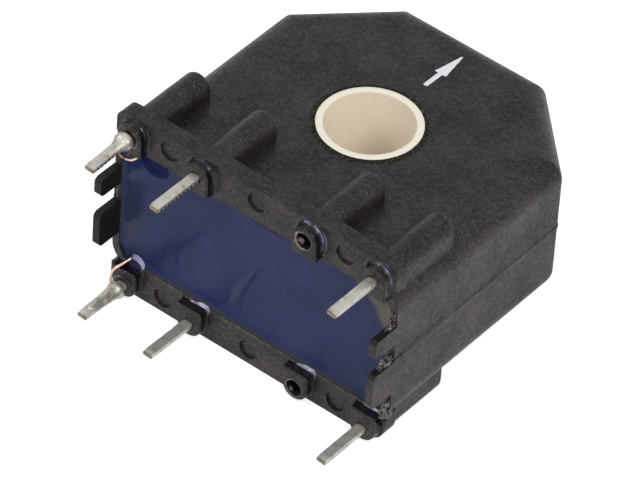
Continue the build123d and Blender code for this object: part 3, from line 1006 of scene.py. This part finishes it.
# Pins
# Flat tinned pins cut from strip: satin faces with fine draw lines, edges just broken, and sheared
# tips that roll over on one side and show the brown base metal.
PIN_EDGE = 0.035
PIN_ROOT = 1.2
PIN_SIDES = 32
PIN_RUNS = ((0.0, 0.9, 40), (0.905, 0.996, 12))
PIN_END_RUN = (0.998, 1.0, 1.0)
PIN_WAVES = ((0.004, 0.7, 0), (0.003, 0.25, 1))
PIN_CREASE = 40.0
LEAN_RANGE = (0.2, 1.0)
TIP_NARROWING = 0.07
TIP_NARROWS = (0.93, 1.0)
TIP_INNER = 0.6
SHEAR_ROLL = 0.035
ROLL_RANGE = (0.9, 1.0)
SHEAR_SLANT = 0.05
SIDE_SLANT = 0.02
SLANT_RANGE = (0.9, 0.995)
CUT_RANGE = (0.968, 0.99)
CUT_FACE_RANGE = (0.9985, 0.9999)
CUT_FACE_RIM = 0.2
NICKED_STRETCH = (0.3, 0.97)
NICK_PITCH = 0.33
NICK_WAVE_RANGE = (-0.4, 0.4)
NICKED_MARK_RANGE = (0.35, 0.45)
NICKED_PINS = ("pin_upper_1", "pin_upper_2")
PIN_LEANS = {"pin_upper_1": -0.14, "pin_lower_2": 0.07}
PIN_SEEDS = range(60, 72, 2)
NICK_SHADE = (0.03, 0.024, 0.022, 1.0)
TIN = (0.52, 0.50, 0.455, 1.0)
TIN_DULL = (0.28, 0.262, 0.225, 1.0)
CUT_METAL = (0.34, 0.25, 0.13, 1.0)
CUT_BROWN = (0.12, 0.08, 0.045, 1.0)
DRAW_LINES = (1.0, 3.0, 0.6)
DRAW_STRETCH = (14.0, 0.5, 14.0)
DRAW_HEIGHT = 0.008
TARNISH = (1.6, 4.0, 0.65)
TARNISH_RANGE = (0.42, 0.75)
TARNISH_HEIGHT = 0.01


def pin_points(low, high, lean, nicked, seed):
    """Points of one pin from the corners of its CAD box, and the marks on it.

    A rectangle with rounded corners is carried from inside the pad to the tip. Over the last
    part the section shrinks and drops like a sheared edge, the cut is slanted, and the whole
    pin leans by an offset that grows with its distance from the pad. The marks are the bare
    metal near the cut, the cut face itself and the nicked edge.
    """
    turn = (np.arange(PIN_SIDES) + 0.5) / PIN_SIDES * 2 * math.pi
    half_wide = (high[0] - low[0]) / 2
    half_thick = (high[2] - low[2]) / 2
    x = np.sign(np.cos(turn)) * (half_wide - PIN_EDGE) + PIN_EDGE * np.cos(turn)
    z = np.sign(np.sin(turn)) * (half_thick - PIN_EDGE) + PIN_EDGE * np.sin(turn)
    root = -(FACE_Y - PIN_ROOT)
    share = np.concatenate([np.linspace(*run) for run in PIN_RUNS] + [PIN_END_RUN])[:, None]
    shrink = 1 - TIP_NARROWING * ease(share, *TIP_NARROWS)
    shrink[-1] = TIP_INNER
    roll = SHEAR_ROLL * ease(share, *ROLL_RANGE) * (z > 0)
    slant = SHEAR_SLANT * (z / half_thick - 1) + SIDE_SLANT * (x / half_wide - 1)
    y = root - share * (root - low[1]) - slant * ease(share, *SLANT_RANGE)
    y = np.maximum(y, low[1])
    spot = np.stack([x + 0 * share, y, z + 0 * share], axis=-1)
    rough = ripples(spot, PIN_WAVES, seed)
    across = (low[0] + high[0]) / 2 + x * shrink + rough * np.sign(x)
    bent = lean * ease(share, *LEAN_RANGE) * share
    upright = (low[2] + high[2]) / 2 + z * shrink - roll + rough * np.sign(z) + bent
    cut = np.broadcast_to(ease(share, *CUT_RANGE), y.shape)
    face = np.broadcast_to(ease(share, *CUT_FACE_RANGE), y.shape).copy()
    face[-2] = CUT_FACE_RIM
    edge = (x > 0) & (z < 0) & (share > NICKED_STRETCH[0]) & (share < NICKED_STRETCH[1])
    marks = {"cut": cut, "face": face, "sheared": nicked * edge}
    return np.stack([across, y, upright], axis=-1), marks


tin = Finish("satin_tin_plating")
tin_place = tin.place()
draw_lines = tin.noise(tin.place(DRAW_STRETCH), *DRAW_LINES)
tarnish = tin.noise(tin_place, *TARNISH)
cut, cut_face, sheared = (tin.attribute(mark) for mark in ("cut", "face", "sheared"))
tin_colour = tin.blend(tin.ramp(tarnish, *TARNISH_RANGE), TIN, TIN_DULL)
nicks = tin.ramp((tin.along("Y", tin_place) * (2 * math.pi / NICK_PITCH)).sine(), *NICK_WAVE_RANGE)
tin_colour = tin.blend(tin.ramp(sheared, *NICKED_MARK_RANGE) * nicks, tin_colour, NICK_SHADE)
tin_colour = tin.blend(cut * (0.5 + 0.6 * tarnish), tin_colour, CUT_BROWN)
tin.shade(
    Base_Color=tin.blend(cut_face * (0.6 + 0.5 * tarnish), tin_colour, CUT_METAL),
    Metallic=0.72 - 0.4 * cut,
    Roughness=0.34 + 0.2 * tarnish + 0.1 * draw_lines,
    Normal=tin.bump(draw_lines * DRAW_HEIGHT + tarnish * TARNISH_HEIGHT),
)
for seed, name in zip(PIN_SEEDS, sorted(name for name in nodes if name.startswith("pin_"))):
    low, high = (np.array(corner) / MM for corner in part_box(name))
    points, marks = pin_points(low, high, PIN_LEANS.get(name, 0.0), name in NICKED_PINS, seed)
    made_name = f"{name}_flat"
    piece(made_name, points, tin, marks=marks, stands_for=name, crease=PIN_CREASE)

# Ends of the winding
# Two enamelled copper wires that leave the resin beside the first pins, lie over the pads and are
# wrapped round the pins under the solder. They turn dark brown towards the joints.
WIRE_RADIUS = 0.078
WIRE_SIDES = 16
STEPS_BETWEEN = 14
BROWNING_REACH = 0.1
COPPER = (0.80, 0.53, 0.42, 1.0)
COPPER_BROWN = (0.16, 0.065, 0.03, 1.0)
STAIN = (4.0, 3.0, 0.5)
STAIN_HEIGHT = 0.01
UPPER_WIRE = (
    (-2.6, -8.6, 1.9), (-7.5, -9.5, 3.2), (-8.75, -10.2, 4.1), (-8.46, -10.8, 4.42),
    (-8.66, -11.0, 4.25), (-8.9, -11.02, 4.1), (-9.2, -11.03, 4.03), (-9.45, -11.1, 4.12),
    (-9.58, -11.2, 4.45), (-9.5, -11.35, 4.9), (-9.2, -11.45, 5.35), (-9.0, -11.5, 5.55),
)
LOWER_WIRE = (
    (2.6, -8.6, -1.9), (-7.0, -9.4, -3.4), (-8.8, -10.1, -3.95), (-8.98, -10.5, -4.08),
    (-9.15, -11.0, -4.24), (-9.41, -11.4, -4.53), (-9.51, -11.58, -5.0), (-9.48, -11.63, -5.4),
    (-9.43, -11.66, -5.7), (-9.3, -11.66, -6.0), (-9.0, -11.66, -6.1), (-8.7, -11.64, -6.0),
    (-8.58, -11.62, -5.75), (-8.72, -11.6, -5.48), (-9.0, -11.6, -5.38),
)
WINDING_ENDS = {
    "upper": (UPPER_WIRE, (0.35, 0.85, 0.4), 0.5),
    "lower": (LOWER_WIRE, (0.5, -0.7, 0.5), 0.55),
}


def smooth_line(points, steps):
    """A curve through points: between two of them it is the cubic whose slope at each is half the
    way between its neighbours."""
    points = np.array(points)
    padded = np.vstack([2 * points[0] - points[1], points, 2 * points[-1] - points[-2]])
    before, start, end, after = (padded[shift:len(padded) - 3 + shift, None] for shift in range(4))
    t = np.linspace(0.0, 1.0, steps, endpoint=False)[None, :, None]
    leave = (end - before) / 2
    arrive = (after - start) / 2
    bend = 3 * (end - start) - 2 * leave - arrive
    close = 2 * (start - end) + leave + arrive
    return np.vstack([(start + t * (leave + t * (bend + t * close))).reshape(-1, 3), points[-1:]])


def tube(line, radius, aside):
    """A round section carried along a line, square to it. The section's own axes come from the
    line's direction crossed with one fixed direction that the line never takes."""
    ahead = np.gradient(line, axis=0)
    ahead /= np.linalg.norm(ahead, axis=1, keepdims=True)
    first = np.cross(ahead, aside)
    first /= np.linalg.norm(first, axis=1, keepdims=True)
    second = np.cross(ahead, first)
    turn = once_round(WIRE_SIDES)[None, :, None]
    return line[:, None] + radius * (np.cos(turn) * first[:, None] + np.sin(turn) * second[:, None])


copper = Finish("enamelled_copper")
stain = copper.noise(copper.place(), *STAIN)
copper.shade(
    Base_Color=copper.blend(copper.attribute("brown_towards_joint") * (0.4 + stain), COPPER, COPPER_BROWN),
    Metallic=0.9,
    Roughness=0.22 + 0.2 * stain,
    Coat_Weight=0.5,
    Coat_Roughness=0.15,
    Normal=copper.bump(stain * STAIN_HEIGHT),
)
for row, (route, aside, brown_at) in WINDING_ENDS.items():
    wire = tube(smooth_line(route, STEPS_BETWEEN), WIRE_RADIUS, aside)
    share = np.linspace(0.0, 1.0, len(wire))[:, None]
    brown = ease(share, brown_at - BROWNING_REACH, brown_at + BROWNING_REACH)
    marks = {"brown_towards_joint": np.broadcast_to(brown, wire.shape[:-1])}
    lead = f"lead_wire_{row}"
    piece(f"winding_end_{row}", wire, copper, marks=marks, stands_for=lead)

# Solder on the first pins
# Solder that ran round the pin and the wrapped wire: a round collar on the upper pin and a long
# cone drawn out along the lower one, bright and smooth with small dimples.
UPPER_SOLDER = (
    (0.02, 0.3), (0.08, 0.42), (0.2, 0.58), (0.34, 0.63), (0.52, 0.61), (0.72, 0.5), (0.92, 0.42),
    (1.15, 0.37), (1.45, 0.31), (1.8, 0.22), (2.1, 0.12),
)
LOWER_SOLDER = (
    (0.3, 0.28), (0.38, 0.46), (0.5, 0.58), (0.66, 0.57), (0.9, 0.51), (1.3, 0.46), (1.8, 0.43),
    (2.4, 0.41), (2.9, 0.36), (3.1, 0.16),
)
SOLDER_JOINTS = {
    "solder_collar_upper": (1, UPPER_SOLDER, 81, "solder_joint_upper"),
    "solder_cone_lower": (-1, LOWER_SOLDER, 87, "solder_joint_lower"),
}
PAD_Y = 11.1
PIN_X = -9.0
SOLDER_WAVES = ((0.05, 0.9, 0), (0.025, 0.35, 1))
SOLDER_FLATNESS = 0.94
SOLDER_FLATTENING = 0.24
FLATTENING_RANGE = (0.6, 1.6)
SOLDER_STEPS = 8
SOLDER_SIDES = 64
SOLDER_BRIGHT = (0.46, 0.45, 0.39, 1.0)
SOLDER_GREY = (0.25, 0.24, 0.20, 1.0)
DULL_SKIN = (2.4, 4.0, 0.6)
DULL_RANGE = (0.42, 0.72)
DULL_HEIGHT = 0.03
DIMPLES = (9.0, 3.0, 0.5)
DIMPLE_HEIGHT = 0.012


def solder_points(side, profile, seed):
    """Points of one joint: a profile of radii along the pin, turned about it, flattened a little
    towards the pin's narrow sides and rippled."""
    smooth = smooth_line([(radius, reach, 0.0) for reach, radius in profile], SOLDER_STEPS)
    turn = once_round(SOLDER_SIDES)[None, :]
    radius = smooth[:, :1]
    reach = smooth[:, 1:2] + 0 * turn
    x = radius * np.cos(turn)
    z = radius * np.sin(turn)
    lump = 1 + ripples(np.stack([x, reach, z], axis=-1), SOLDER_WAVES, seed)
    flatten = SOLDER_FLATNESS - SOLDER_FLATTENING * ease(reach, *FLATTENING_RANGE)
    upright = side * PIN_Z + z * lump * flatten
    return np.stack([PIN_X + x * lump, -(PAD_Y + reach), upright], axis=-1)


solder = Finish("bright_solder")
solder_place = solder.place()
dull_skin = solder.noise(solder_place, *DULL_SKIN)
dimples = solder.noise(solder_place, *DIMPLES)
solder.shade(
    Base_Color=solder.blend(solder.ramp(dull_skin, *DULL_RANGE), SOLDER_BRIGHT, SOLDER_GREY),
    Metallic=0.8,
    Roughness=0.3 + 0.3 * dull_skin,
    Normal=solder.bump(dull_skin * DULL_HEIGHT + dimples * DIMPLE_HEIGHT),
)
for name, (side, profile, seed, node) in SOLDER_JOINTS.items():
    piece(name, solder_points(side, profile, seed), solder, stands_for=node)

# Wound core
# A ring core with a speckled coating and, close round it, the turns of its copper winding. Both
# are cast in the resin and out of sight.
CORE_GREY = (0.11, 0.11, 0.12, 1.0)
CORE_SPECK = (0.2, 0.2, 0.21, 1.0)
COATING_GRAIN = (4.0, 3.0, 0.5)
COATING_HEIGHT = 0.02
TURN_COUNT = 240.0
TURN_RANGE = (-1.0, 0.6)
TURN_HEIGHT = 0.03

coating = Finish("core_coating")
coating_grain = coating.noise(coating.place(), *COATING_GRAIN)
coating.shade(
    Base_Color=coating.blend(coating_grain, CORE_GREY, CORE_SPECK),
    Roughness=0.6,
    Normal=coating.bump(coating_grain * COATING_HEIGHT),
)
coating.dress("toroid_core")
turns = Finish("winding_turns")
turns_place = turns.place()
turns_x, turns_y = (turns.along(axis, turns_place) for axis in "XY")
turn_wave = (turns_y.worked("ARCTAN2", turns_y, turns_x) * TURN_COUNT).sine()
turns.shade(
    Base_Color=turns.blend(turns.ramp(turn_wave, *TURN_RANGE), COPPER_BROWN, COPPER),
    Metallic=0.9,
    Roughness=0.3,
    Normal=turns.bump(turn_wave * TURN_HEIGHT),
)
turns.dress("secondary_winding")

# Flux on the pads
# Brown flux left in a ring round each soldered pin and round the mouth of each empty hole. It set
# glossy and uneven, and is pinkish where it lies thickest.
FLUX_BROWN = (0.10, 0.055, 0.035, 1.0)
FLUX_PINK = (0.34, 0.22, 0.19, 1.0)
FLUX_SPOTS = (4.5, 3.0, 0.6)
FLUX_RANGE = (0.4, 0.7)
PINK_SPOTS_RANGE = (0.3, 0.55)
FLUX_HEIGHT = 0.05
FLUX_ROWS = 96
FLUX_COLUMNS = 12
FLUX_LEAST = 0.008
FLUX_FLATNESS = 0.5
FLUX_THICK_WAVES = ((0.4, 0.7, 0),)
FLUX_WAVER = ((0.03, 1.1, 1),)
PINK_RANGE = (-0.4, 0.4)
HOLE_X = 4.0
FLUX_RINGS = {
    "flux_ring_upper_1": ((-9.0, 1), 0.62, 0.09, -0.4, 0.0, 101),
    "flux_ring_lower_1": ((-9.0, -1), 0.62, 0.1, 3.0, 0.1, 104),
    "flux_ring_upper_3": ((HOLE_X, 1), 0.6, 0.08, 3.5, 0.6, 107),
    "flux_ring_lower_3": ((HOLE_X, -1), 0.58, 0.04, 3.3, 0.4, 110),
}


def flux_ring(middle, radius, thick, heading, pink, seed):
    """Points of one ring of flux on a pad's face and the pink marks on it: a round section carried
    round the pin, thickest towards one heading and thinning away from it with the cosine, rippled
    along its length. The pink lies on the thick side."""
    turn = once_round(FLUX_ROWS)[:, None]
    around = once_round(FLUX_COLUMNS)[None, :]
    spot = np.stack([np.cos(turn), np.sin(turn), 0 * turn], axis=-1)
    towards = np.cos(turn - heading)
    swell = 1 + ripples(spot, FLUX_THICK_WAVES, seed)
    section = thick * (0.55 + 0.45 * towards) * swell + FLUX_LEAST
    out = radius + section * np.cos(around) + ripples(spot, FLUX_WAVER, seed)
    x = middle[0] + out * np.cos(turn)
    z = middle[1] * PIN_Z + out * np.sin(turn)
    y = -PAD_Y - FLUX_FLATNESS * section * np.sin(around)
    pinkness = np.broadcast_to(pink * ease(towards, *PINK_RANGE), x.shape)
    return np.stack([x, y, z], axis=-1), {"pink": pinkness}


flux = Finish("brown_flux")
flux_spots = flux.noise(flux.place(), *FLUX_SPOTS)
flux_colour = flux.blend(flux.ramp(flux_spots, *FLUX_RANGE), FILM_DARK, FLUX_BROWN)
flux_pink = flux.attribute("pink") * flux.ramp(flux_spots, *PINK_SPOTS_RANGE)
flux.shade(
    Base_Color=flux.blend(flux_pink, flux_colour, FLUX_PINK),
    Roughness=0.3,
    Specular_IOR_Level=0.3,
    Coat_Weight=0.3 + 0.4 * flux_spots,
    Coat_Roughness=0.1,
    Normal=flux.bump(flux_spots * FLUX_HEIGHT),
)
for name, ring_sizes in FLUX_RINGS.items():
    ring, ring_marks = flux_ring(*ring_sizes)
    piece(name, ring, flux, "joined", marks=ring_marks)

# Crumbs and drops
# Crumbs of resin left beside the tabs, on the left wall and by the wires when the cup was filled
# and trimmed, flux by the upper wire, and a ragged flash of plastic beside the last lower pad. The
# crumbs are rough, and their pale specks are partly pale grains and partly painted glints. Pale
# lumps of flux in the two empty holes are painted glints on the holes' inner walls.
LUMP_LIMIT = 10.3
LUMP_BOX = np.array([10.48, 14.0, 6.78])
LUMP_ROWS = 13
LUMP_COLUMNS = 20
LUMP_SMALLEST = 0.35
LUMP_NARROWEST = 0.7
LUMP_SEED = 200
LUMP_WAVES = ((0.3, 1.4, 0),)
LUMP_GRAIN_WAVES = ((0.12, 0.5, 199),)
GRIT_DARK = (0.006, 0.005, 0.005, 1.0)
# Pale specks: partly pale grains, partly painted glints.
GRIT_PALE_AND_GLINT = (0.34, 0.31, 0.30, 1.0)
GRIT_TONE = (9.0, 4.0, 0.7, 0.45, 0.68)
GRIT_GRAIN = (12.0, 2.0, 0.5)
GRIT_HEIGHT = 0.05
CRUMB_SEED = 5
LUMPS = {
    "crumbs_on_wide_tab": ((10.2, -10.95, 0.08), (0.12, 0.5, 0.12), 26, (0.22, 0.26, 0.24)),
    "crumbs_on_narrow_tab": ((10.2, -10.65, 2.7), (0.1, 0.3, 0.08), 14, (0.16, 0.2, 0.13)),
    "crumbs_beside_pad_4": ((10.17, -10.36, -3.85), (0.12, 0.34, 0.65), 44, (0.22, 0.22, 0.26)),
    "crumbs_above_tabs": ((10.2, -10.42, 3.4), (0.25, 0.05, 0.6), 16, (0.1, 0.07, 0.1)),
    "crumbs_on_left_wall": ((-10.15, -10.4, 1.4), (0.15, 0.04, 1.4), 26, (0.08, 0.06, 0.09)),
    "crumbs_by_upper_wire": ((-8.0, -10.4, 5.0), (0.5, 0.03, 0.5), 10, (0.04, 0.03, 0.04)),
    "crumbs_by_lower_wire": ((-9.15, -11.08, -4.66), (0.4, 0.04, 0.08), 18, (0.09, 0.07, 0.07)),
}
# Painted glints: pale lumps of flux on the lit inner walls of the empty holes.
HOLE_GLINTS = {
    "glint_in_upper_hole": ((3.64, -10.9, 5.40), (0.12, 0.05, 0.12), 7, (0.23, 0.14, 0.23), 0.4),
    "glint_in_lower_hole": ((3.66, -10.9, -6.08), (0.08, 0.05, 0.08), 6, (0.14, 0.12, 0.14), 0.1),
}
FLASH = ((10.1, -10.45, -4.9), (0.1, 0.06, 0.55), 30, (0.2, 0.14, 0.25))
WIRE_FLUX = ((-8.85, -10.85, 4.36), (0.25, 0.1, 0.1), 12, (0.2, 0.16, 0.16))


def lumps(middle, spread, count, size, random):
    """Points of a group of lumps: balls whose radius swells and shrinks with ripples, each pressed
    out of round and placed at random in a box."""
    across = np.linspace(0.0, math.pi, LUMP_ROWS)[:, None]
    turn = once_round(LUMP_COLUMNS)[None, :]
    out = np.sin(across)
    ball = np.stack([out * np.cos(turn), out * np.sin(turn), np.cos(across) + 0 * turn], axis=-1)
    places = np.array(middle) + random.uniform(-1.0, 1.0, (count, 3)) * np.array(spread)
    places[:, 0] = np.clip(places[:, 0], -LUMP_LIMIT, LUMP_LIMIT)
    sizes_drawn = random.uniform(LUMP_SMALLEST, 1.0, (count, 1))
    stretch = np.array(size) * sizes_drawn * random.uniform(LUMP_NARROWEST, 1.0, (count, 3))
    swell = np.stack([1 + ripples(ball, LUMP_WAVES, LUMP_SEED + number) for number in range(count)])
    rough = 1 + ripples(ball, LUMP_GRAIN_WAVES)
    grown = ball * (swell * rough)[..., None] * stretch[:, None, None] + places[:, None, None]
    return np.clip(grown, -LUMP_BOX, LUMP_BOX)


grit = Finish("resin_grit")
grit_place = grit.place()
grit_tone = grit.patches(grit_place, *GRIT_TONE)
grit.shade(
    Base_Color=grit.blend(grit_tone, GRIT_DARK, GRIT_PALE_AND_GLINT),
    Roughness=0.35,
    Specular_IOR_Level=0.3,
    Coat_Weight=0.5 * grit_tone + 0.2,
    Coat_Roughness=0.12,
    Normal=grit.bump(grit.noise(grit_place, *GRIT_GRAIN) * GRIT_HEIGHT),
)
crumb_random = np.random.default_rng(CRUMB_SEED)
for name, group in LUMPS.items():
    piece(name, lumps(*group, crumb_random), grit, "points")
# Painted glints in the empty holes.
for name, (*group, pink) in HOLE_GLINTS.items():
    glint_lumps = lumps(*group, crumb_random)
    piece(name, glint_lumps, flux, "points", marks={"pink": np.full(glint_lumps.shape[:-1], pink)})
piece("flash_beside_pad_4", lumps(*FLASH, crumb_random), plastic, "points")
piece("flux_by_upper_wire", lumps(*WIRE_FLUX, crumb_random), flux, "points")

# Floor and light
# A pale studio floor under a soft even sky and two soft round lamps, at the front right and left.
# What the camera, gloss and glass see of floor and sky is white, and the floor keeps the object's
# shadow.
FLOOR_Z = -6.802
FLOOR_HALF = 2000.0
FLOOR_COLOUR = (0.8, 0.8, 0.8, 1.0)
FLOOR_LIFT = 0.62
SKY_LIGHT = 0.5
WHITE = (1.0, 1.0, 1.0, 1.0)
LAMPS = {
    "soft_lamp_right": ((380.0, -150.0, 420.0), 260.0, 1.5),
    "soft_lamp_left": ((-260.0, -290.0, 440.0), 200.0, 0.9),
}

paper = Finish("pale_floor")
paper.shade(Base_Color=FLOOR_COLOUR, Roughness=0.9, Specular_IOR_Level=0.0)
lifted = {"Color": WHITE, "Strength": paper.seen() * FLOOR_LIFT}
glow = paper.add("ShaderNodeEmission", "Emission", lifted)
lit = Value(paper, paper.shader.outputs["BSDF"])
both = paper.add("ShaderNodeAddShader", "Shader", {0: lit, 1: glow})
paper.feed(paper.tree.nodes["Material Output"].inputs["Surface"], both)

corner_signs = np.array([(-1, -1, 0), (1, -1, 0), (1, 1, 0), (-1, 1, 0)])
floor_corners = (corner_signs * FLOOR_HALF + np.array([0.0, 0.0, FLOOR_Z])) * MM
floor_mesh = bpy.data.meshes.new("floor")
floor_mesh.from_pydata(floor_corners.tolist(), [], [(0, 1, 2, 3)])
floor_mesh.materials.append(paper.material)
floor = bpy.data.objects.new("floor", floor_mesh)
bpy.context.scene.collection.objects.link(floor)

sky = bpy.data.worlds.new("studio_sky")
sky.use_nodes = True
air = Nodes(sky.node_tree)
background = sky.node_tree.nodes["Background"]
brightness = {"Value": air.seen(), "To Min": SKY_LIGHT, "To Max": 1.0}
air.feed(background.inputs["Color"], WHITE)
air.feed(background.inputs["Strength"], air.add("ShaderNodeMapRange", "Result", brightness))
bpy.context.scene.world = sky

for name, (place, size, watts) in LAMPS.items():
    light = bpy.data.lights.new(name, "AREA")
    light.shape = "DISK"
    light.size = size * MM
    light.energy = watts
    lamp = bpy.data.objects.new(name, light)
    reach = float(np.linalg.norm(place))
    azimuth = math.degrees(math.atan2(place[1], place[0]))
    elevation = math.degrees(math.asin(place[2] / reach))
    lamp.matrix_world = look_from(azimuth, elevation, 0.0, (0.0, 0.0, 0.0), reach)
    bpy.context.scene.collection.objects.link(lamp)
